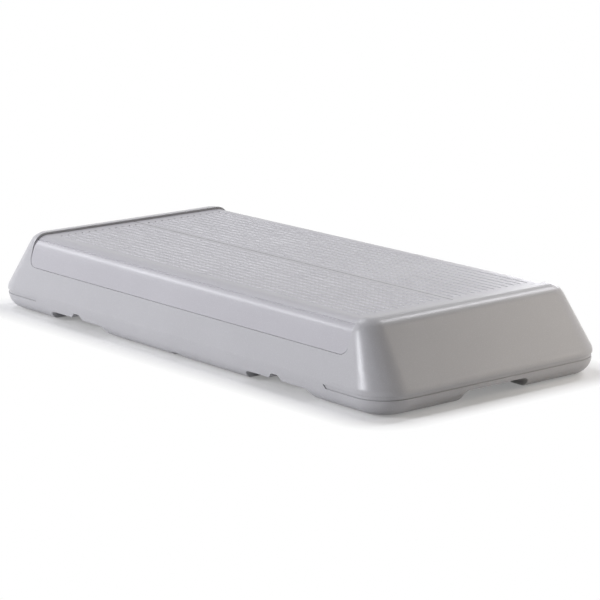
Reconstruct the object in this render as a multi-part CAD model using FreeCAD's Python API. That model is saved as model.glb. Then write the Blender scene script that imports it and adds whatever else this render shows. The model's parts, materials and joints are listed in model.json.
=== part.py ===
"""Aerobic step platform: a moulded base with raised ends, a two-panel ribbed deck, rubber pads and screws.

Frame: X along the length, +Y to the back, Z up, origin on the floor under the middle. Millimetres.
"""
import FreeCAD
import Part
import math
import os

# Overall size
LENGTH = 744.0
WIDTH = 340.0
HEIGHT = 100.0

# Outer form of the base: a waist, walls that lean in above it, and a rounded roll under it
WAIST_Z = 29.0
END_LEAN = 33.6
SIDE_LEAN = 16.2
WAIST_CORNER = 41.0
TOP_CORNER = 23.0
TOP_ROUND = 21.0
WAIST_ROUND = 14.0
SOLE_ROUND = 20.0
SOLE_DRAW = 4.0
WALL = 3.5

# Sole ring that the pads sit in, and the knee of the inner wall above it
PAD_STAND = 1.6
SOLE_WIDTH = 13.0
KNEE_Z = 20.0
KNEE_INSET = 7.0
ROOF_CHAMFER = 15.0
CORNER_FACETS = 3

# Deck panels
END_LENGTH = 66.0
DECK_DROP = 2.7
DECK_CORNER = 12.0
DECK_WALL = 3.6
DECK_LEAN = 18.5
SHOULDER_ROUND = 22.0
SEAM_DROP = 39.4
SEAM_GAP = 0.5
DECK_END_GAP = 0.4
MIDDLE_GAP = 0.8
RIB_PITCH = 10.3
RIBS_PER_PANEL = 12
GROOVE_WIDTH = 3.0
GROOVE_FLOOR_WIDTH = 1.6
GROOVE_DEPTH = 1.1
GROOVE_END_MARGIN = 18.0
NOSE_GROOVE_ANGLE = 38.0
NOSE_GROOVE_RADIUS = 1.0

# Tongue of the base behind the deck skirts
TONGUE_BELOW_SEAM = 10.6
TONGUE_ABOVE_SEAM = 11.4
TONGUE_WALL = 2.4
TONGUE_GAP = 0.4

# Rib grid inside the base
GRID_WALL = 3.0
GRID_BOTTOM_Z = 20.0
CROSS_RIBS_EACH_SIDE = 3
LONG_PITCH = 54.0
LONG_RIBS_EACH_SIDE = 2
MIDDLE_RIB_WALL = 8.0
GRID_CLEARANCE = 0.6

# U-shaped groove low round each end
BAND_TOP_Z = 25.6
BAND_HEIGHT = 4.6
BAND_DEPTH = 1.1
BAND_REACH = 95.0
BAND_TIP_SLANT = 4.0

# Arches between the feet, and the notches for resistance bands
CENTRE_FOOT_HALF = 128.0
CORNER_FOOT_LENGTH = 112.0
SIDE_ARCH_TOP = 14.0
SIDE_ARCH_RAMP = 17.0
END_ARCH_HALF = 56.0
END_ARCH_TOP = 15.5
END_ARCH_RAMP = 15.0
NOTCH_WIDTH = 11.0
NOTCH_FLARE = 45.0
NOTCH_ROUND = 3.5
NOTCH_RISE = 6.0
NOTCH_SHARE = 0.49

# Rubber pads
PAD_WIDTH = 8.0
PAD_EDGE = 2.5
PAD_SEAT_DEPTH = 1.5
PAD_SIDE_GAP = 0.2
PAD_END_GAP = 6.0
PAD_END_CHAMFER = 2.0

# Deck screws, the lugs they pass through and the bosses they bite into
SCREW_CELL = 2
SCREW_LONG_RIB = 1
SCREW_RIB_OFFSET = 8.5
LUG_WIDTH = 14.0
LUG_HEIGHT = 7.0
DECK_BOSS_DIAMETER = 10.0
DECK_BOSS_LENGTH = 13.7
SCREW_SHANK = 3.6
SCREW_HOLE_GAP = 0.1
BASE_HOLE_GAP = 0.6
SCREW_BITE = 10.0
SCREW_TIP = 1.0
SCREW_HEAD_FLATS = 7.0
SCREW_HEAD_HEIGHT = 2.6

# Worked-out sizes
V = FreeCAD.Vector
X_AXIS = V(1, 0, 0)
Y_AXIS = V(0, 1, 0)
Z_AXIS = V(0, 0, 1)
HALF_L = LENGTH / 2
HALF_W = WIDTH / 2
SOLE_Z = PAD_STAND
REACH = LENGTH
DECK_TOP = HEIGHT - DECK_DROP
DECK_UNDER = DECK_TOP - DECK_WALL
DECK_LENGTH = LENGTH - 2 * END_LENGTH
POCKET_HALF = DECK_LENGTH / 2 + DECK_END_GAP
CROSS_PITCH = DECK_LENGTH / (2 * CROSS_RIBS_EACH_SIDE)
DECK_BOSS_LOW_Z = DECK_UNDER - DECK_BOSS_LENGTH
LUG_LOW_Z = DECK_BOSS_LOW_Z - LUG_HEIGHT
SOLE_FLAT_INSET = SOLE_DRAW + SOLE_ROUND
PAD_OUTER_INSET = SOLE_FLAT_INSET + PAD_EDGE
SEAM_Z = HEIGHT - SEAM_DROP
SEAT_Z = SEAM_Z - SEAM_GAP / 2
TONGUE_FOOT_Z = SEAM_Z - TONGUE_BELOW_SEAM
TONGUE_TOP_Z = SEAM_Z + TONGUE_ABOVE_SEAM
SIDE_ARCH_INNER = CENTRE_FOOT_HALF
SIDE_ARCH_OUTER = HALF_L - CORNER_FOOT_LENGTH
NOTCH_X = SIDE_ARCH_INNER + NOTCH_SHARE * (SIDE_ARCH_OUTER - SIDE_ARCH_INNER)
BAND_TIP_X = HALF_L - BAND_REACH
FOOT_DEPTH = SOLE_FLAT_INSET + SOLE_WIDTH + WALL


def lean(angle):
    """Sideways run per unit of height of a wall that leans by this many degrees."""
    return math.tan(math.radians(angle))


NOTCH_FOOT_HALF = NOTCH_WIDTH / 2 + NOTCH_RISE * lean(NOTCH_FLARE)


def level_size(z, inset):
    """Half length, half width and corner radius of the body at height z, drawn in by inset."""
    if z >= WAIST_Z:
        rise = z - WAIST_Z
        long_half = HALF_L - lean(END_LEAN) * rise
        wide_half = HALF_W - lean(SIDE_LEAN) * rise
        radius = WAIST_CORNER + (TOP_CORNER - WAIST_CORNER) * rise / (HEIGHT - WAIST_Z)
    else:
        share = (WAIST_Z - z) / (WAIST_Z - SOLE_Z)
        long_half = HALF_L - SOLE_DRAW * share
        wide_half = HALF_W - SOLE_DRAW * share
        radius = WAIST_CORNER - SOLE_DRAW * share
    return long_half - inset, wide_half - inset, radius - inset


def level_wire(z, inset=0.0):
    """Rounded rectangle of the body at height z, drawn in by inset from the outer face."""
    return rounded_rectangle(*level_size(z, inset), z)


def level_ring(z, inset, corner=None):
    """Outline of the body at height z, drawn in by inset, with its corners turned in equal flats."""
    long_half, wide_half, radius = level_size(z, inset)
    if corner is not None:
        radius = corner
    points = []
    for quarter, (sx, sy) in enumerate(((1, 1), (-1, 1), (-1, -1), (1, -1))):
        for i in range(CORNER_FACETS + 1):
            angle = math.radians(90.0 * (quarter + i / CORNER_FACETS))
            points.append(V(sx * (long_half - radius) + radius * math.cos(angle),
                            sy * (wide_half - radius) + radius * math.sin(angle), z))
    return Part.makePolygon(points + points[:1])


def rounded_rectangle(long_half, wide_half, radius, z):
    """Wire of four straight sides and four corner arcs, in the plane at height z."""
    a = long_half - radius
    b = wide_half - radius
    bulge = radius * math.sqrt(0.5)
    corners = ((1, 1), (-1, 1), (-1, -1), (1, -1))
    starts = []
    ends = []
    arcs = []
    for sx, sy in corners:
        on_end = V(sx * long_half, sy * b, z)
        on_side = V(sx * a, sy * wide_half, z)
        first, last = (on_end, on_side) if sx * sy > 0 else (on_side, on_end)
        middle = V(sx * (a + bulge), sy * (b + bulge), z)
        arcs.append(Part.Arc(first, middle, last).toShape())
        starts.append(first)
        ends.append(last)
    edges = []
    for i, arc in enumerate(arcs):
        edges += [arc, Part.makeLine(ends[i], starts[(i + 1) % 4])]
    return Part.Wire(edges)


def tower(wires):
    """Solid with straight walls from each wire to the next: flat over lines, ruled over corner arcs."""
    faces = [Part.Face(wires[0]), Part.Face(wires[-1])]
    for low, high in zip(wires, wires[1:]):
        for a, b in zip(low.Edges, high.Edges):
            if a.Curve.TypeId == "Part::GeomLine":
                ends = [a.Vertexes[0].Point, a.Vertexes[1].Point, b.Vertexes[1].Point, b.Vertexes[0].Point]
                faces.append(Part.Face(Part.makePolygon(ends + ends[:1])))
            else:
                faces += Part.makeLoft([Part.Wire([a]), Part.Wire([b])], False, True).Faces
    shell = Part.makeShell(faces)
    shell.sewShape()
    solid = Part.Solid(shell)
    if solid.Orientation == "Reversed":
        solid = Part.Solid(shell.reversed())
    return solid


def level_edges(solid, z):
    """Edges of a solid that lie in the plane at height z."""
    found = []
    for edge in solid.Edges:
        heights = [v.Z for v in edge.Vertexes] + [edge.CenterOfMass.z]
        if all(abs(h - z) < 1e-4 for h in heights):
            found.append(edge)
    return found


def block(x0, x1, y0, y1, z0, z1):
    """Box between two opposite corners, given in any order."""
    return Part.makeBox(abs(x1 - x0), abs(y1 - y0), abs(z1 - z0), V(min(x0, x1), min(y0, y1), min(z0, z1)))


def prism(points, direction):
    """Solid swept along direction from a closed outline of points."""
    outline = Part.makePolygon([V(*p) for p in points] + [V(*points[0])])
    return Part.Face(outline).extrude(direction)


def deck_room(half, low, corner):
    """Room above a level, between two end planes, with both lower corners rounded in side view."""
    room = block(-half, half, -REACH, REACH, low, 2 * HEIGHT)
    lower = [e for e in level_edges(room, low) if abs(e.tangentAt(e.FirstParameter).y) > 0.9]
    return room.makeFillet(corner, lower)


def mirrored_y(shape):
    return shape.mirror(V(0, 0, 0), Y_AXIS)


def mirrored_x(shape):
    return shape.mirror(V(0, 0, 0), X_AXIS)


def hull_y(z):
    """Half width of the base's outer side face at height z above the waist."""
    return HALF_W - lean(SIDE_LEAN) * (z - WAIST_Z)


def skirt_y(z):
    """Half width of the deck skirt's outer face, flush with the base at the seam."""
    return hull_y(SEAM_Z) - lean(DECK_LEAN) * (z - SEAM_Z)


def skirt_inner_y(z):
    return skirt_y(z) - DECK_WALL / math.cos(math.radians(DECK_LEAN))


# Shoulder of the deck: an arc tangent to the flat top and to the leaning skirt
SHOULDER_TURN = math.radians(90.0 - DECK_LEAN)
SHOULDER_REACH = SHOULDER_ROUND * math.tan(SHOULDER_TURN / 2)
SHOULDER_Y = skirt_y(DECK_TOP) - SHOULDER_REACH
SHOULDER_Z = DECK_TOP - SHOULDER_ROUND


def shoulder_point(angle, radius):
    """Point on the front shoulder, angle in radians from straight up."""
    return V(0, -(SHOULDER_Y + radius * math.sin(angle)), SHOULDER_Z + radius * math.cos(angle))


def outer_body(inset=0.0):
    """Whole outer form of the base, as a closed body with its edges rounded, drawn in by inset."""
    body = tower([level_wire(SOLE_Z, inset), level_wire(WAIST_Z, inset), level_wire(HEIGHT, inset)])
    for z, radius in ((HEIGHT, TOP_ROUND), (WAIST_Z, WAIST_ROUND), (SOLE_Z, SOLE_ROUND)):
        body = body.makeFillet(radius, level_edges(body, z))
    return body


def cavity():
    """Hollow of the base, open below inside the sole ring and following the outer walls above it."""
    wall_run = WALL / math.cos(math.radians(END_LEAN))
    sole_inset = SOLE_FLAT_INSET + SOLE_WIDTH - SOLE_DRAW
    roof = HEIGHT - WALL
    rings = [level_ring(SOLE_Z, sole_inset, WAIST_CORNER - KNEE_INSET), level_ring(KNEE_Z, KNEE_INSET),
             level_ring(WAIST_Z, wall_run), level_ring(roof - ROOF_CHAMFER, wall_run),
             level_ring(roof, wall_run + ROOF_CHAMFER / 2)]
    return tower(rings)


def tongue_y(z):
    """Half width of the outer face of the base's tongue, just inside the deck skirt."""
    return skirt_inner_y(z) - TONGUE_GAP


def tongues():
    """Upstands along both long walls that back the seam and locate the deck skirts."""
    half = POCKET_HALF + WALL / 2
    points = [(-half, -hull_y(TONGUE_FOOT_Z) + WALL / 2, TONGUE_FOOT_Z),
              (-half, -hull_y(SEAT_Z) + WALL / 2, SEAT_Z),
              (-half, -tongue_y(SEAT_Z), SEAT_Z),
              (-half, -tongue_y(TONGUE_TOP_Z), TONGUE_TOP_Z),
              (-half, -tongue_y(TONGUE_TOP_Z) + TONGUE_WALL, TONGUE_TOP_Z),
              (-half, -tongue_y(SEAT_Z) + TONGUE_WALL, SEAT_Z)]
    front = prism(points, V(2 * half, 0, 0))
    return [front, mirrored_y(front)]


def corner_blocks(body):
    """Solid corners of the base wall outside the deck's rounded skirt corners, joined to the tongues."""
    inner = POCKET_HALF - DECK_CORNER - DECK_END_GAP
    right = body.common(block(inner, POCKET_HALF + WALL / 2, -HALF_W, -tongue_y(TONGUE_TOP_Z) + TONGUE_WALL,
                              TONGUE_FOOT_Z, SEAT_Z + DECK_CORNER + DECK_END_GAP))
    front = [right, mirrored_x(right)]
    return front + [mirrored_y(s) for s in front]


def grid_envelope():
    """Room for the rib grid between the raised ends, clear of the skirts, up to the deck plates."""
    knee = SHOULDER_Z + SHOULDER_ROUND * math.sin(math.radians(DECK_LEAN))
    half = [(HALF_W, SOLE_Z), (HALF_W, TONGUE_FOOT_Z),
            (tongue_y(SEAM_Z) - TONGUE_WALL / 2, SEAM_Z),
            (tongue_y(TONGUE_TOP_Z) - TONGUE_WALL / 2, TONGUE_TOP_Z),
            (skirt_inner_y(knee) - GRID_CLEARANCE, knee),
            (SHOULDER_Y, DECK_UNDER)]
    outline = [(-POCKET_HALF, -y, z) for y, z in half] + [(-POCKET_HALF, y, z) for y, z in reversed(half)]
    return prism(outline, V(2 * POCKET_HALF, 0, 0))


def rib_grid(hollow):
    """Crossing ribs that carry the deck, and ribs along the hollow ends."""
    room = hollow.common(grid_envelope())
    ends = hollow.cut(block(-POCKET_HALF, POCKET_HALF, -REACH, REACH, 0, HEIGHT))
    cross = []
    for i in range(-CROSS_RIBS_EACH_SIDE, CROSS_RIBS_EACH_SIDE):
        x = (i + 0.5) * CROSS_PITCH
        cross.append(block(x - GRID_WALL / 2, x + GRID_WALL / 2, -HALF_W, HALF_W, GRID_BOTTOM_Z, HEIGHT))
    along = []
    for i in range(-LONG_RIBS_EACH_SIDE, LONG_RIBS_EACH_SIDE + 1):
        thick = MIDDLE_RIB_WALL if i == 0 else GRID_WALL
        y = i * LONG_PITCH
        along.append(block(-HALF_L, HALF_L, y - thick / 2, y + thick / 2, GRID_BOTTOM_Z, HEIGHT))
    grid = cross[0].multiFuse(cross[1:] + along)
    stiffeners = along[0].multiFuse(along[1:])
    return [grid.common(room), stiffeners.common(ends)]


def end_bands(body):
    """U-shaped groove round each end low down, with slanted blind tips on the long sides."""
    low = BAND_TOP_Z - BAND_HEIGHT
    slab = block(0, HALF_L, -HALF_W, HALF_W, low, BAND_TOP_Z)
    ring = body.common(slab).cut(outer_body(BAND_DEPTH))
    reach = prism([(BAND_TIP_X, -REACH, BAND_TOP_Z), (REACH, -REACH, BAND_TOP_Z), (REACH, -REACH, low),
                   (BAND_TIP_X + BAND_TIP_SLANT, -REACH, low)], V(0, 2 * REACH, 0))
    right = ring.common(reach)
    return [right, mirrored_x(right)]


def arch_outline(inner, outer, ramp, top):
    """Closed arch outline in length and height: two S-shaped ramps and a flat roof, run below the floor."""
    rise = top - SOLE_Z
    radius = (ramp ** 2 + rise ** 2) / (4 * rise)
    turn = math.atan2(rise, ramp)
    across = radius * math.sin(turn)
    up = radius * (1 - math.cos(turn))

    def ramp_arcs(foot, way):
        middle = V(foot + way * ramp / 2, 0, SOLE_Z + rise / 2)
        head = foot + way * ramp
        low = Part.Arc(V(foot, 0, SOLE_Z), V(foot + way * across, 0, SOLE_Z + up), middle)
        high = Part.Arc(middle, V(head - way * across, 0, top - up), V(head, 0, top))
        return [low.toShape(), high.toShape()]

    roof = Part.makeLine(V(inner + ramp, 0, top), V(outer - ramp, 0, top))
    lower = Part.makePolygon([V(outer, 0, SOLE_Z), V(outer, 0, -SOLE_Z),
                              V(inner, 0, -SOLE_Z), V(inner, 0, SOLE_Z)])
    return Part.Wire(Part.__sortEdges__(ramp_arcs(inner, 1) + ramp_arcs(outer, -1) + [roof] + lower.Edges))


def slot(x, low):
    """Notch through a long side above a level: flanks that flare downwards, and rounded upper edges."""
    top = low + NOTCH_RISE
    narrow = NOTCH_WIDTH / 2
    wide = narrow + (top + SOLE_Z) * lean(NOTCH_FLARE)
    cut = prism([(x - wide, -HALF_W, -SOLE_Z), (x + wide, -HALF_W, -SOLE_Z),
                 (x + narrow, -HALF_W, top), (x - narrow, -HALF_W, top)], V(0, FOOT_DEPTH, 0))
    upper = [e for e in cut.Edges if abs(e.CenterOfMass.z - top) < 1e-6 and abs(e.tangentAt(0).y) > 0.9]
    return cut.makeFillet(NOTCH_ROUND, upper)


def foot_cuts():
    """Arches between the feet and band notches, for the whole rim."""
    side = Part.Face(arch_outline(SIDE_ARCH_INNER, SIDE_ARCH_OUTER, SIDE_ARCH_RAMP, SIDE_ARCH_TOP))
    side = side.extrude(V(0, FOOT_DEPTH, 0))
    side.translate(V(0, -HALF_W, 0))
    side_notch = slot(NOTCH_X, SIDE_ARCH_TOP)
    middle_notch = slot(0, SOLE_Z)
    front = [side, mirrored_x(side), side_notch, mirrored_x(side_notch), middle_notch]
    end = Part.Face(arch_outline(-END_ARCH_HALF, END_ARCH_HALF, END_ARCH_RAMP, END_ARCH_TOP))
    end = end.extrude(V(0, FOOT_DEPTH, 0))
    end.rotate(V(0, 0, 0), Z_AXIS, 90)
    end.translate(V(HALF_L, 0, 0))
    return front + [mirrored_y(s) for s in front] + [end, mirrored_x(end)]


def pad_ring(gap):
    """Strip that runs right round under the sole, wider by gap on both edges."""
    def contour(inset):
        return Part.Face(rounded_rectangle(HALF_L - inset, HALF_W - inset, WAIST_CORNER - SOLE_DRAW, 0))
    strip = contour(PAD_OUTER_INSET - gap).cut(contour(PAD_OUTER_INSET + PAD_WIDTH + gap))
    return strip.extrude(V(0, 0, SOLE_Z + PAD_SEAT_DEPTH))


def corner_pad(gap=0.0):
    """L-shaped pad under the front right corner foot."""
    x0 = SIDE_ARCH_OUTER + PAD_END_GAP - gap
    y0 = -END_ARCH_HALF - PAD_END_GAP + gap
    return pad_ring(gap).common(block(x0, HALF_L, -HALF_W, y0, 0, HEIGHT))


def centre_pad(gap=0.0):
    """Straight pad under the front middle foot, right of the middle notch."""
    x0 = NOTCH_FOOT_HALF + PAD_END_GAP - gap
    x1 = SIDE_ARCH_INNER - PAD_END_GAP + gap
    return pad_ring(gap).common(block(x0, x1, -HALF_W, 0, 0, HEIGHT))


def all_four(shape):
    """A shape on the front right, and its three mirror images, by name."""
    front = {"front_right": shape, "front_left": mirrored_x(shape)}
    back = {name.replace("front", "back"): mirrored_y(s) for name, s in front.items()}
    return {**front, **back}


def chamfered_pad(pad):
    """Pad with its upright end edges cut off."""
    upright = [e for e in pad.Edges if e.Length < HEIGHT and abs(e.tangentAt(e.FirstParameter).z) > 0.99]
    ends = [e for e in upright if on_pad_end(e)]
    return pad.makeChamfer(PAD_END_CHAMFER, ends)


def on_pad_end(edge):
    """True for an upright edge at a pad's cut end, and not on the strip's corner arcs."""
    x = abs(edge.CenterOfMass.x)
    y = abs(edge.CenterOfMass.y)
    cuts = (SIDE_ARCH_OUTER + PAD_END_GAP, NOTCH_FOOT_HALF + PAD_END_GAP, SIDE_ARCH_INNER - PAD_END_GAP)
    return any(abs(x - c) < 1e-4 for c in cuts) or abs(y - END_ARCH_HALF - PAD_END_GAP) < 1e-4


def screw_places():
    """Screw axes under the front panel."""
    x = SCREW_CELL * CROSS_PITCH
    y = -SCREW_LONG_RIB * LONG_PITCH - SCREW_RIB_OFFSET
    return [V(x, y, 0), V(-x, y, 0)]


def upright(place, diameter, z0, z1):
    """Upright cylinder at a place, between two heights."""
    return Part.makeCylinder(diameter / 2, z1 - z0, V(place.x, place.y, z0))


def base_shell():
    """Base moulding: walls, raised ends, tongues, rib grid, screw lugs, feet, grooves and pad seats."""
    body = outer_body()
    hollow = cavity()
    shell = body.cut(hollow).multiFuse(corner_blocks(body))
    shell = shell.cut(deck_room(POCKET_HALF, SEAT_Z, DECK_CORNER + DECK_END_GAP))
    plate = body.common(block(POCKET_HALF, POCKET_HALF + WALL, -REACH, REACH, GRID_BOTTOM_Z, 2 * HEIGHT))
    lugs = []
    holes = []
    for place in screw_places():
        lug = block(place.x - LUG_WIDTH / 2, place.x + LUG_WIDTH / 2, -SCREW_LONG_RIB * LONG_PITCH,
                    place.y - LUG_WIDTH / 2, LUG_LOW_Z, DECK_BOSS_LOW_Z)
        hole = upright(place, SCREW_SHANK + BASE_HOLE_GAP, LUG_LOW_Z, DECK_BOSS_LOW_Z)
        lugs += [lug, mirrored_y(lug)]
        holes += [hole, mirrored_y(hole)]
    inside = [plate, mirrored_x(plate)] + tongues() + rib_grid(hollow) + lugs
    shell = shell.multiFuse(inside)
    seats = list(all_four(corner_pad(PAD_SIDE_GAP)).values())
    seats += list(all_four(centre_pad(PAD_SIDE_GAP)).values())
    cuts = holes + foot_cuts() + end_bands(body) + seats
    return shell.cut(Part.makeCompound(cuts)).removeSplitter()


def deck_section():
    """Closed section of the front panel: plate, shoulder and skirt of one thickness."""
    turn = SHOULDER_TURN
    inner_round = SHOULDER_ROUND - DECK_WALL
    low = SEAM_Z + SEAM_GAP / 2
    edge = -MIDDLE_GAP / 2
    outer = Part.Arc(shoulder_point(0, SHOULDER_ROUND), shoulder_point(turn / 2, SHOULDER_ROUND),
                     shoulder_point(turn, SHOULDER_ROUND)).toShape()
    inner = Part.Arc(shoulder_point(turn, inner_round), shoulder_point(turn / 2, inner_round),
                     shoulder_point(0, inner_round)).toShape()
    lines = [(V(0, edge, DECK_TOP), shoulder_point(0, SHOULDER_ROUND)),
             (shoulder_point(turn, SHOULDER_ROUND), V(0, -skirt_y(low), low)),
             (V(0, -skirt_y(low), low), V(0, -skirt_inner_y(low), low)),
             (V(0, -skirt_inner_y(low), low), shoulder_point(turn, inner_round)),
             (shoulder_point(0, inner_round), V(0, edge, DECK_UNDER)),
             (V(0, edge, DECK_UNDER), V(0, edge, DECK_TOP))]
    edges = [Part.makeLine(a, b) for a, b in lines] + [outer, inner]
    return Part.Face(Part.Wire(Part.__sortEdges__(edges)))


def deck_grooves():
    """Grooves between the deck's ribs, stopped short of the panel's ends."""
    half = DECK_LENGTH / 2 - GROOVE_END_MARGIN
    floor = DECK_TOP - GROOVE_DEPTH
    wide = GROOVE_WIDTH / 2
    narrow = GROOVE_FLOOR_WIDTH / 2
    cuts = []
    for i in range(1, RIBS_PER_PANEL + 1):
        y = -i * RIB_PITCH
        cuts.append(prism([(-half, y - wide, DECK_TOP), (-half, y + wide, DECK_TOP),
                           (-half, y + narrow, floor), (-half, y - narrow, floor)], V(2 * half, 0, 0)))
    return cuts


def front_deck_panel():
    """Front half of the deck, with its ribs, nose groove and screw bosses."""
    half = DECK_LENGTH / 2
    panel = deck_section().extrude(V(DECK_LENGTH, 0, 0))
    panel.translate(V(-half, 0, 0))
    nose = shoulder_point(math.radians(NOSE_GROOVE_ANGLE), SHOULDER_ROUND)
    nose_groove = Part.makeCylinder(NOSE_GROOVE_RADIUS, DECK_LENGTH, V(-half, nose.y, nose.z), X_AXIS)
    bosses = [upright(p, DECK_BOSS_DIAMETER, DECK_BOSS_LOW_Z, DECK_UNDER) for p in screw_places()]
    hole_top = DECK_BOSS_LOW_Z + SCREW_BITE + SCREW_TIP
    holes = [upright(p, SCREW_SHANK + SCREW_HOLE_GAP, DECK_BOSS_LOW_Z, hole_top) for p in screw_places()]
    panel = panel.common(deck_room(half, SEAM_Z + SEAM_GAP / 2, DECK_CORNER)).multiFuse(bosses)
    return panel.cut(Part.makeCompound(deck_grooves() + [nose_groove] + holes)).removeSplitter()


def deck_screw(place):
    """Hexagon-head screw, driven from below."""
    corner = SCREW_HEAD_FLATS / math.sqrt(3)
    low = LUG_LOW_Z - SCREW_HEAD_HEIGHT
    turns = [math.radians(60 * i) for i in range(6)]
    head = prism([(place.x + corner * math.cos(t), place.y + corner * math.sin(t), low) for t in turns],
                 V(0, 0, SCREW_HEAD_HEIGHT))
    return head.fuse(upright(place, SCREW_SHANK, low, DECK_BOSS_LOW_Z + SCREW_BITE)).removeSplitter()


def save(name, shape):
    shape.exportStep(os.path.join("parts", name + ".step"))
    print(name, len(shape.Solids), "solid(s)", round(shape.Volume / 1000, 1), "cm3", shape.isValid())


def main():
    os.makedirs("parts", exist_ok=True)
    save("base_shell", base_shell())
    front_panel = front_deck_panel()
    save("front_deck_panel", front_panel)
    save("back_deck_panel", mirrored_y(front_panel))
    for name, pad in all_four(chamfered_pad(corner_pad())).items():
        save(name + "_corner_pad", pad)
    for name, pad in all_four(chamfered_pad(centre_pad())).items():
        save(name + "_centre_pad", pad)
    front_screws = Part.makeCompound([deck_screw(p) for p in screw_places()])
    save("front_deck_screws", front_screws)
    save("back_deck_screws", mirrored_y(front_screws))


main()
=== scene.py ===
"""Looks of the aerobic step platform, in a white studio.

Satin silver-grey mouldings, black rubber pads and plated screws.

Metres, in the frame of the solids: X along the length, +Y to the back, Z up from the floor.
"""
import bpy
import json
import math
from mathutils import Matrix, Vector


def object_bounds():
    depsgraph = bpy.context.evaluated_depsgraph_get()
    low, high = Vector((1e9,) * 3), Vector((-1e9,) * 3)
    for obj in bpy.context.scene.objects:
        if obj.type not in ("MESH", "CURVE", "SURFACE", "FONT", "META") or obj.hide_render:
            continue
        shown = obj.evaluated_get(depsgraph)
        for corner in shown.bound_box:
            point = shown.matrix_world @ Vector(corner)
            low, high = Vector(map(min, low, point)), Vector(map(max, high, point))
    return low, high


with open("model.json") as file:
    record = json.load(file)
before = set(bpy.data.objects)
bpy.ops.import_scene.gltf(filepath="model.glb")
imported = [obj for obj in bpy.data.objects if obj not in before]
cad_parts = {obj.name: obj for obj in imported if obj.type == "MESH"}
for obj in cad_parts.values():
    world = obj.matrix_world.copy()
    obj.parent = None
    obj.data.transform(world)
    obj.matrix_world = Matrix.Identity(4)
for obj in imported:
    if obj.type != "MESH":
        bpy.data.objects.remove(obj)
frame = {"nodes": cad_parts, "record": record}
cad_low, cad_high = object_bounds()
scene = bpy.context.scene
scene.view_settings.view_transform = "Standard"

# Smooth shading of the solids: flat faces stay flat, rounded ones run smoothly
CREASE_ANGLE = math.radians(24)
WELD_DISTANCE = 0.000002
LARGE_FACE_WEIGHT = 60


def smooth_shading(obj):
    """Joins a solid's faces and shades them smoothly up to the crease angle; large faces stay flat."""
    for polygon in obj.data.polygons:
        polygon.use_smooth = True
    weld = obj.modifiers.new("weld", "WELD")
    weld.merge_threshold = WELD_DISTANCE
    split = obj.modifiers.new("creases", "EDGE_SPLIT")
    split.split_angle = CREASE_ANGLE
    split.use_edge_sharp = False
    normals = obj.modifiers.new("normals", "WEIGHTED_NORMAL")
    normals.mode = "FACE_AREA_WITH_ANGLE"
    normals.weight = LARGE_FACE_WEIGHT


# Helpers that build node trees
BEVEL_SAMPLES = 6
SHELTER_SAMPLES = 8
# The Mix node's own places for two colours and for their mix
MIX_COLOURS = (6, 7)
MIX_RESULT = 2


class Tree:
    """Adds nodes to one node tree and joins them."""

    def __init__(self, tree):
        self.nodes = tree.nodes
        self.links = tree.links

    def add(self, kind, **values):
        node = self.nodes.new(kind)
        for key, value in values.items():
            setattr(node, key, value)
        return node

    def feed(self, socket, value):
        """Joins another socket to this one, or sets it to a plain value."""
        if isinstance(value, bpy.types.NodeSocket):
            self.links.new(value, socket)
        else:
            socket.default_value = value

    def feed_all(self, node, values):
        """Feeds a node's sockets in their order."""
        for socket, value in zip(node.inputs, values):
            self.feed(socket, value)
        return node

    def feed_named(self, node, values):
        """Feeds a node's sockets by their names."""
        for key, value in values.items():
            self.feed(node.inputs[key], value)
        return node

    def ramp(self, value, low, high, to_low, to_high):
        """Moves a value from one range to another, held at both ends."""
        node = self.add("ShaderNodeMapRange")
        values = {"Value": value, "From Min": low, "From Max": high, "To Min": to_low, "To Max": to_high}
        return self.feed_named(node, values).outputs["Result"]

    def math(self, operation, *values):
        node = self.add("ShaderNodeMath", operation=operation)
        return self.feed_all(node, values).outputs["Value"]

    def vector(self, operation, *values):
        """The vector that an operation on vectors gives."""
        node = self.add("ShaderNodeVectorMath", operation=operation)
        return self.feed_all(node, values).outputs["Vector"]

    def vector_number(self, operation, *values):
        """The number that an operation on vectors gives."""
        node = self.add("ShaderNodeVectorMath", operation=operation)
        return self.feed_all(node, values).outputs["Value"]

    def mix_shaders(self, factor, first, second):
        return self.feed_all(self.add("ShaderNodeMixShader"), (factor, first, second)).outputs["Shader"]


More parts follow.
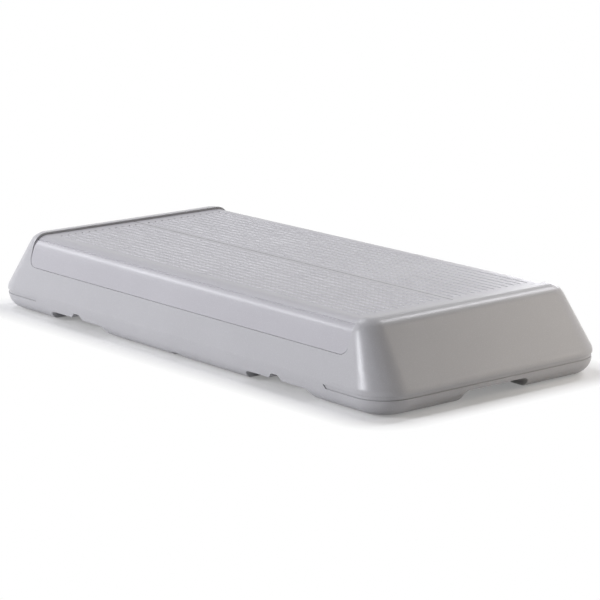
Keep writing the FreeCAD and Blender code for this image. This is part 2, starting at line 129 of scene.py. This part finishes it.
class Finish(Tree):
    """One material of the object, with patterns in its own metres."""

    def __init__(self, name):
        self.material = bpy.data.materials.new(name)
        self.material.use_nodes = True
        super().__init__(self.material.node_tree)
        self.shader = self.nodes["Principled BSDF"]
        self.place = self.add("ShaderNodeTexCoord").outputs["Object"]

    def set(self, key, value):
        """Feeds one socket of the shader."""
        self.feed(self.shader.inputs[key], value)

    def noise(self, scale, detail, rough, stretch=None):
        """Noise from 0 to 1, with scale in waves to a metre; stretch scales the axes first."""
        place = self.place
        if stretch:
            mapping = self.feed_named(self.add("ShaderNodeMapping"), {"Scale": stretch, "Vector": place})
            place = mapping.outputs["Vector"]
        node = self.add("ShaderNodeTexNoise")
        values = {"Vector": place, "Scale": scale, "Detail": detail, "Roughness": rough}
        return self.feed_named(node, values).outputs["Fac"]

    def mix(self, factor, first, second):
        """Mix of two colours, each a colour or a socket."""
        node = self.add("ShaderNodeMix", data_type="RGBA")
        self.feed(node.inputs["Factor"], factor)
        for index, value in zip(MIX_COLOURS, (first, second)):
            self.feed(node.inputs[index], (*value, 1.0) if isinstance(value, tuple) else value)
        return node.outputs[MIX_RESULT]

    def rounded(self, radius):
        """Normal of the surface with its edges rounded by radius."""
        bevel = self.add("ShaderNodeBevel", samples=BEVEL_SAMPLES)
        self.feed(bevel.inputs["Radius"], radius)
        return bevel.outputs["Normal"]

    def edges(self, radius, low, high):
        """Mask of worn edges: 1 where the rounded normal leaves the true one, 0 on flat faces."""
        true = self.add("ShaderNodeNewGeometry").outputs["Normal"]
        likeness = self.vector_number("DOT_PRODUCT", self.rounded(radius), true)
        return self.ramp(likeness, high, low, 0.0, 1.0)

    def sheltered(self, reach, low, high, most):
        """Mask of painted shade in grooves and seams, from how closed in they are: most where nearly closed
        in, 0 on open faces.
        """
        node = self.add("ShaderNodeAmbientOcclusion", samples=SHELTER_SAMPLES, only_local=True)
        self.feed(node.inputs["Distance"], reach)
        return self.ramp(node.outputs["AO"], low, high, most, 0.0)

    def bump(self, height, distance, strength, below):
        """Normal with a bump on it, over the normal below."""
        node = self.add("ShaderNodeBump")
        values = {"Height": height, "Distance": distance, "Strength": strength, "Normal": below}
        return self.feed_named(node, values).outputs["Normal"]


# Plastic: its main, pale and dark colours, and its roughness
BODY_COLOURS = ((0.52, 0.515, 0.53), (0.62, 0.62, 0.64), (0.495, 0.49, 0.505))
BODY_ROUGH = 0.33
DECK_COLOURS = ((0.515, 0.505, 0.53), (0.61, 0.605, 0.635), (0.49, 0.48, 0.505))
DECK_ROUGH = 0.31

# Noise: scale, detail and roughness, and for some the stretch. It stays mostly within the span.
NOISE_SPAN = (0.3, 0.7)
PLASTIC_CLOUDS = (9.0, 3.0, 0.55)
PLASTIC_FLECKS = (900.0, 1.0, 0.6)
PLASTIC_GRAIN = (1500.0, 2.0, 0.6)
PLASTIC_SCUFFS = (60.0, 4.0, 0.6, (0.25, 1.0, 1.0))
RUBBER_PEBBLES = (700.0, 2.0, 0.6)
RUBBER_DUST = (120.0, 4.0, 0.65)
STEEL_CLOUDS = (400.0, 3.0, 0.6)
STEEL_MARKS = (700.0, 1.0, 0.5, (1.0, 1.0, 9.0))

# Worn edges: radius, and likeness of the normals where worn and where not
PLASTIC_WORN = (0.0012, 0.86, 0.99)
RUBBER_WORN = (0.0008, 0.85, 0.99)
STEEL_WORN = (0.0004, 0.8, 0.98)

# Bumps: depth and strength
PLASTIC_CLOUD_BUMP = (0.0003, 0.12)
PLASTIC_GRAIN_BUMP = (0.00006, 0.2)
RUBBER_BUMP = (0.00012, 0.7)
STEEL_BUMP = (0.00003, 0.5)

# Radius of the small round on every edge
PLASTIC_ROUND = 0.0005
RUBBER_ROUND = 0.0004
STEEL_ROUND = 0.0003

# Flecks and rubbed edges of the plastic: range of the noise, and the share of pale plastic
FLECK_RANGE = (0.52, 0.72)
FLECK_SHARE = (0.0, 0.35)
RUBBED_RANGE = (0.35, 0.7)
RUBBED_SHARE = (0.1, 0.5)
# What clouds and scuffs add to the roughness of the plastic
CLOUD_ROUGH = 0.015
SCUFF_ROUGH = (-0.012, 0.015)

# Painted shade in grooves and seams: its colour, how far the shelter reaches, the range of openness, and its
# most
GROOVE_SHADE_COLOUR = (0.13, 0.13, 0.135)
GROOVE_SHADE_REACH = 0.004
GROOVE_SHADE_RANGE = (0.35, 0.85)
GROOVE_SHADE_MOST = 0.5
# On the deck: where the tread ends and the nose begins, from the middle
TREAD_END = (0.127, 0.131)
# The nose's share of the painted groove shade, and what the tread adds to the roughness
NOSE_SHADE_SHARE = 0.15
TREAD_ROUGHER = 0.035
# Painted shade and dust along the joint between the panels: where it fades, from the middle, and its most
JOINT_RANGE = (0.0006, 0.0016)
JOINT_SHADE_AND_DUST = 0.7

# Colours of the rubber and the steel, and their ranges
RUBBER_BLACK = (0.022, 0.022, 0.023)
RUBBER_DUSTY = (0.05, 0.049, 0.047)
RUBBER_RUBBED = (0.075, 0.073, 0.07)
RUBBER_DUST_RANGE = (0.45, 0.75)
RUBBER_DUST_SHARE = (0.0, 0.5)
RUBBER_RUBBED_SHARE = (0.2, 0.8)
RUBBER_ROUGH = (0.68, 0.86)
STEEL_PALE = (0.6, 0.6, 0.6)
STEEL_DULL = (0.47, 0.46, 0.44)
STEEL_BRIGHT = (0.78, 0.78, 0.77)
STEEL_CLOUD_RANGE = (0.35, 0.7)
STEEL_BRIGHT_SHARE = 0.6
STEEL_ROUGH = (0.28, 0.45)


def moulded_plastic(name, colour, pale, dark, rough, tread=False):
    """Silver-grey moulded plastic with a fine spark-eroded grain, faint flow clouds, rubbed edges and
    painted shade in its grooves.
    """
    m = Finish(name)
    clouds = m.noise(*PLASTIC_CLOUDS)
    scuffs = m.noise(*PLASTIC_SCUFFS)
    flecks = m.ramp(m.noise(*PLASTIC_FLECKS), *FLECK_RANGE, *FLECK_SHARE)
    rubbed = m.math("MULTIPLY", m.edges(*PLASTIC_WORN), m.ramp(scuffs, *RUBBED_RANGE, *RUBBED_SHARE))
    base = m.mix(m.ramp(clouds, *NOISE_SPAN, 0.0, 1.0), colour, dark)
    base = m.mix(flecks, base, pale)
    base = m.mix(rubbed, base, pale)
    cloud_rough = m.ramp(clouds, *NOISE_SPAN, rough - CLOUD_ROUGH, rough + CLOUD_ROUGH)
    roughness = m.math("ADD", cloud_rough, m.ramp(scuffs, *NOISE_SPAN, *SCUFF_ROUGH))
    # Painted shade: the colour darkens in grooves and seams by how closed in they are
    dust = m.sheltered(GROOVE_SHADE_REACH, *GROOVE_SHADE_RANGE, GROOVE_SHADE_MOST)
    if tread:
        # Painted shade: some between the ribs, little in the nose grooves, and along the middle joint a band
        # of painted shade and dust
        parts = m.add("ShaderNodeSeparateXYZ")
        m.feed(parts.inputs["Vector"], m.place)
        across = m.math("ABSOLUTE", parts.outputs["Y"])
        dust = m.math("MULTIPLY", dust, m.ramp(across, *TREAD_END, 1.0, NOSE_SHADE_SHARE))
        dust = m.math("MAXIMUM", dust, m.ramp(across, *JOINT_RANGE, JOINT_SHADE_AND_DUST, 0.0))
        roughness = m.math("ADD", roughness, m.ramp(across, *TREAD_END, TREAD_ROUGHER, 0.0))
    # The painted shade darkens the base colour
    m.set("Base Color", m.mix(dust, base, GROOVE_SHADE_COLOUR))
    m.set("Roughness", roughness)
    m.set("Specular IOR Level", 0.5)
    clouded = m.bump(clouds, *PLASTIC_CLOUD_BUMP, m.rounded(PLASTIC_ROUND))
    m.set("Normal", m.bump(m.noise(*PLASTIC_GRAIN), *PLASTIC_GRAIN_BUMP, clouded))
    return m.material


def black_rubber():
    """Matt black rubber with a fine pebbled face and dusty edges."""
    m = Finish("pad_rubber")
    dust = m.noise(*RUBBER_DUST)
    rubbed = m.math("MULTIPLY", m.edges(*RUBBER_WORN), m.ramp(dust, *NOISE_SPAN, *RUBBER_RUBBED_SHARE))
    base = m.mix(m.ramp(dust, *RUBBER_DUST_RANGE, *RUBBER_DUST_SHARE), RUBBER_BLACK, RUBBER_DUSTY)
    m.set("Base Color", m.mix(rubbed, base, RUBBER_RUBBED))
    m.set("Roughness", m.ramp(dust, *NOISE_SPAN, *RUBBER_ROUGH))
    m.set("Normal", m.bump(m.noise(*RUBBER_PEBBLES), *RUBBER_BUMP, m.rounded(RUBBER_ROUND)))
    return m.material


def plated_steel():
    """Zinc-plated screw steel with cloudy plating and fine turning marks."""
    m = Finish("screw_steel")
    clouds = m.noise(*STEEL_CLOUDS)
    rubbed = m.math("MULTIPLY", m.edges(*STEEL_WORN), STEEL_BRIGHT_SHARE)
    base = m.mix(m.ramp(clouds, *STEEL_CLOUD_RANGE, 0.0, 1.0), STEEL_PALE, STEEL_DULL)
    m.set("Base Color", m.mix(rubbed, base, STEEL_BRIGHT))
    m.set("Metallic", 1.0)
    m.set("Roughness", m.ramp(clouds, *NOISE_SPAN, *STEEL_ROUGH))
    m.set("Normal", m.bump(m.noise(*STEEL_MARKS), *STEEL_BUMP, m.rounded(STEEL_ROUND)))
    return m.material


# The four finishes, by the material slots of the record
finishes = {
    "body_grey": moulded_plastic("body_grey", *BODY_COLOURS, BODY_ROUGH),
    "deck_grey": moulded_plastic("deck_grey", *DECK_COLOURS, DECK_ROUGH, tread=True),
    "pad_rubber": black_rubber(),
    "screw_steel": plated_steel(),
}
for row in frame["record"]["subparts"]:
    node = frame["nodes"][row["node"]]
    node.data.materials.clear()
    node.data.materials.append(finishes[row["material_slot"]])
    smooth_shading(node)


# Camera at the photograph's viewing angle
CAMERA_PLACE = Vector((2.2817, -1.8332, 0.7029))
CAMERA_RIGHT = Vector((0.63241, 0.77462, -0.00506))
CAMERA_UP = Vector((-0.1665, 0.14231, 0.97572))
CAMERA_BACK = CAMERA_RIGHT.cross(CAMERA_UP)
camera = bpy.data.objects.new("camera", bpy.data.cameras.new("camera"))
scene.collection.objects.link(camera)
scene.camera = camera
camera.data.sensor_width = 36.0
camera.data.lens = 150.48
camera.data.clip_start = 0.05
camera.data.clip_end = 60.0
axes = Matrix((CAMERA_RIGHT, CAMERA_UP, CAMERA_BACK)).transposed()
camera.matrix_world = Matrix.Translation(CAMERA_PLACE) @ axes.to_4x4()


# Studio: a world and a floor that are seen as white, and soft lamps
WORLD_LIGHT = 0.02
FLOOR_REACH = 14.0
# A hair below the soles, so that no two faces share a plane
FLOOR_DROP = 0.0002
# Share of the light that the floor throws back: as the camera sees it, in the open, and under the object,
# where the floor is painted dark as painted shade for the underside
FLOOR_SEEN = 1.0
FLOOR_BOUNCE = 0.9
UNDER_BOUNCE = 0.08
# Distances are counted from this far inside the outline of the object
UNDER_INSET = 0.03
BOUNCE_REACH = (0.0, 0.03)
# The floor's shadow fades into plain white over this distance, from this share of white
SHADOW_REACH = (0.03, 0.065)
UNDER_WHITE = 0.25


def seen_plainly(tree):
    """1 for rays from the camera, or seen in a reflection or through glass; 0 for light on the object."""
    path = tree.add("ShaderNodeLightPath").outputs
    reflected = tree.math("MAXIMUM", path["Is Camera Ray"], path["Is Glossy Ray"])
    return tree.math("MAXIMUM", reflected, path["Is Transmission Ray"])


world = bpy.data.worlds.new("studio")
scene.world = world
world.use_nodes = True
sky = Tree(world.node_tree)
background = sky.nodes["Background"]
sky.feed(background.inputs["Color"], (1.0, 1.0, 1.0, 1.0))
sky.feed(background.inputs["Strength"], sky.ramp(seen_plainly(sky), 0.0, 1.0, WORLD_LIGHT, 1.0))


def floor_paper():
    """White paper that keeps the object's shadow, and is clear from below."""
    paper = bpy.data.materials.new("floor_paper")
    paper.use_nodes = True
    sheet = Tree(paper.node_tree)
    sheet.nodes.remove(sheet.nodes["Principled BSDF"])
    # Distance on the floor from a little inside the outline of the object
    place = sheet.add("ShaderNodeTexCoord").outputs["Object"]
    outline = (cad_high[0] - UNDER_INSET, cad_high[1] - UNDER_INSET, 0.0)
    beyond = sheet.vector("SUBTRACT", sheet.vector("ABSOLUTE", place), outline)
    away = sheet.vector_number("LENGTH", sheet.vector("MAXIMUM", beyond, (0.0, 0.0, 0.0)))
    # The light that the floor throws back, least under the object: there the floor is painted dark, a
    # painted shade for the underside
    bounce = sheet.ramp(away, *BOUNCE_REACH, UNDER_BOUNCE, FLOOR_BOUNCE)
    camera_ray = sheet.add("ShaderNodeLightPath").outputs["Is Camera Ray"]
    matt = sheet.add("ShaderNodeBsdfDiffuse")
    sheet.feed(matt.inputs["Color"], sheet.ramp(camera_ray, 0.0, 1.0, bounce, FLOOR_SEEN))
    # Plain white where it is seen, apart from the shadow round the object
    white = sheet.add("ShaderNodeEmission")
    sheet.feed(white.inputs["Strength"], 1.0)
    fade = sheet.ramp(away, *SHADOW_REACH, UNDER_WHITE, 1.0)
    shown = sheet.math("MULTIPLY", fade, seen_plainly(sheet))
    upper = sheet.mix_shaders(shown, matt.outputs["BSDF"], white.outputs["Emission"])
    # From below the floor is clear, so that the underside can be seen
    from_below = sheet.add("ShaderNodeNewGeometry").outputs["Backfacing"]
    clear = sheet.add("ShaderNodeBsdfTransparent").outputs["BSDF"]
    sheet.feed(sheet.nodes["Material Output"].inputs["Surface"], sheet.mix_shaders(from_below, upper, clear))
    return paper


floor_mesh = bpy.data.meshes.new("floor")
floor_corners = [(x * FLOOR_REACH, y * FLOOR_REACH, 0) for x, y in ((-1, -1), (1, -1), (1, 1), (-1, 1))]
floor_mesh.from_pydata(floor_corners, [], [(0, 1, 2, 3)])
floor = bpy.data.objects.new("floor", floor_mesh)
scene.collection.objects.link(floor)
floor.location.z = -FLOOR_DROP
floor.data.materials.append(floor_paper())

# Lamps: name, azimuth, elevation, distance, width, height, power and colour
# Azimuth 0 is in front of the object and 90 at its right end
COOL = (0.95, 0.955, 1.0)
WARM = (1.0, 0.92, 0.81)
LAMPS = [
    ("front_lamp", -19, 21, 5.5, 2.0, 1.9, 186, COOL),
    ("corner_gleam", 19, 15, 0.6, 0.13, 0.11, 1.45, COOL),
    ("left_low_strip", -53, 15, 3.2, 1.2, 0.16, 2.5, COOL),
    ("left_high_strip", -60, 29, 3.2, 1.2, 0.24, 17, COOL),
    ("left_lamp", -90, 58, 3.2, 1.1, 1.1, 18, COOL),
    ("back_left_lamp", -150, 14, 3.2, 1.1, 0.9, 14, COOL),
    ("back_strip", 180, 46, 3.2, 0.4, 1.3, 30, COOL),
    ("right_lamp", 118, 17, 0.85, 0.5, 0.5, 1.35, WARM),
]
# The large front lamp shows in no reflection; the small one at the corner is only a reflection
MATT_ONLY = ("front_lamp",)
GLOSS_ONLY = ("corner_gleam",)
LAMPS_FACE = Vector((0, 0, 0.05))


def soft_lamp(name, azimuth, elevation, distance, wide, high, power, colour):
    """Area lamp that faces the object."""
    lamp = bpy.data.objects.new(name, bpy.data.lights.new(name, "AREA"))
    scene.collection.objects.link(lamp)
    lamp.data.shape = "RECTANGLE"
    lamp.data.size = wide
    lamp.data.size_y = high
    lamp.data.energy = power
    lamp.data.color = colour
    a = math.radians(azimuth)
    e = math.radians(elevation)
    way = Vector((math.sin(a) * math.cos(e), -math.cos(a) * math.cos(e), math.sin(e)))
    lamp.location = way * distance + LAMPS_FACE
    lamp.rotation_mode = "QUATERNION"
    lamp.rotation_quaternion = way.to_track_quat("Z", "Y")
    lamp.visible_diffuse = name not in GLOSS_ONLY
    lamp.visible_glossy = name not in MATT_ONLY


for row in LAMPS:
    soft_lamp(*row)
